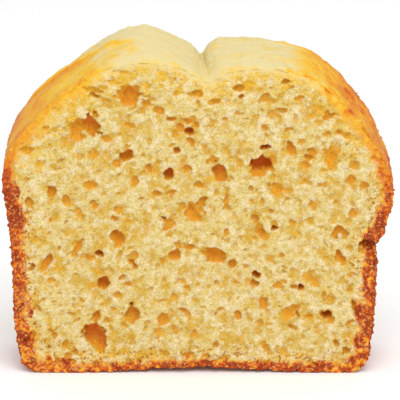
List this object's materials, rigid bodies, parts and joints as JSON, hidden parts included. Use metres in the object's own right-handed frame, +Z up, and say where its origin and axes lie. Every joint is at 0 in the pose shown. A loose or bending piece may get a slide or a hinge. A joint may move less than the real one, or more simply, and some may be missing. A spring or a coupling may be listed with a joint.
{
  "type": "vanilla loaf cake slice",
  "caption": "Upright slice of vanilla loaf cake with an open crumb, browned crust on the sides and base, and a pale domed top split into two lobes.",
  "frame": {"origin": "on the floor, under the middle of the slice's bounding box", "axes": "+Z up through the domed top, X across the slice from one side crust to the other, -Y out of the cut face that the picture shows"},
  "size_m": [0.0998, 0.02, 0.0881],
  "materials": {
    "crumb": "soft matt cake crumb, cream yellow, with a golden brown crust",
    "crust": "golden brown baked crust, paler and a little glossy on the crown"
  },
  "bodies": {
    "root": {"cake_slice": "crumb"}
  },
  "joints": []
}
